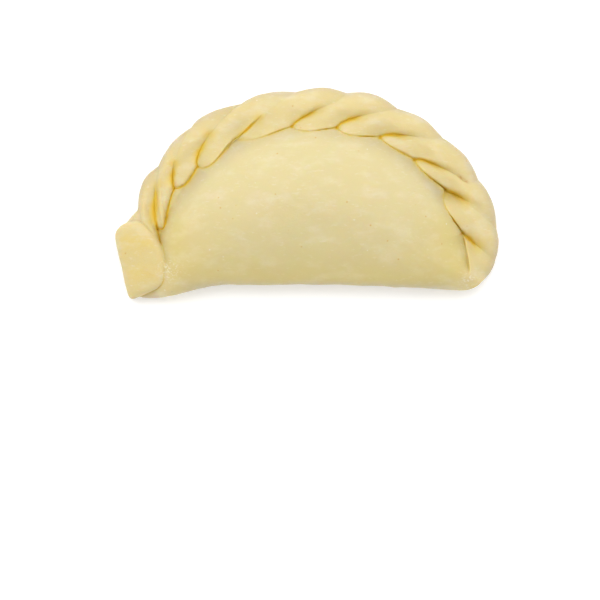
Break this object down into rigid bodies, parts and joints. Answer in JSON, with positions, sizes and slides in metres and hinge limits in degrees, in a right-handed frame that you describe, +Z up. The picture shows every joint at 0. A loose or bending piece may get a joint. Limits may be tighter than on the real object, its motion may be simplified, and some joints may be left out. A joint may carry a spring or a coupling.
{
  "type": "empanada",
  "caption": "Uncooked half-moon pie of pale dough, domed over its filling, folded along its straight edge and sealed along its curved edge with a twisted rope that ends in a folded tab.",
  "frame": {"origin": "centre of the overall box in plan, on the surface that the pie lies on", "axes": "+X along the folded front edge, away from the tab; +Y towards the rope; +Z up"},
  "size_m": [0.1298, 0.0716, 0.028],
  "materials": {
    "raw_dough": "raw wheat dough, pale cream yellow, soft satin sheen, faint flour streaks and tiny specks"
  },
  "bodies": {
    "root": {"empanada": "raw_dough"}
  },
  "joints": []
}
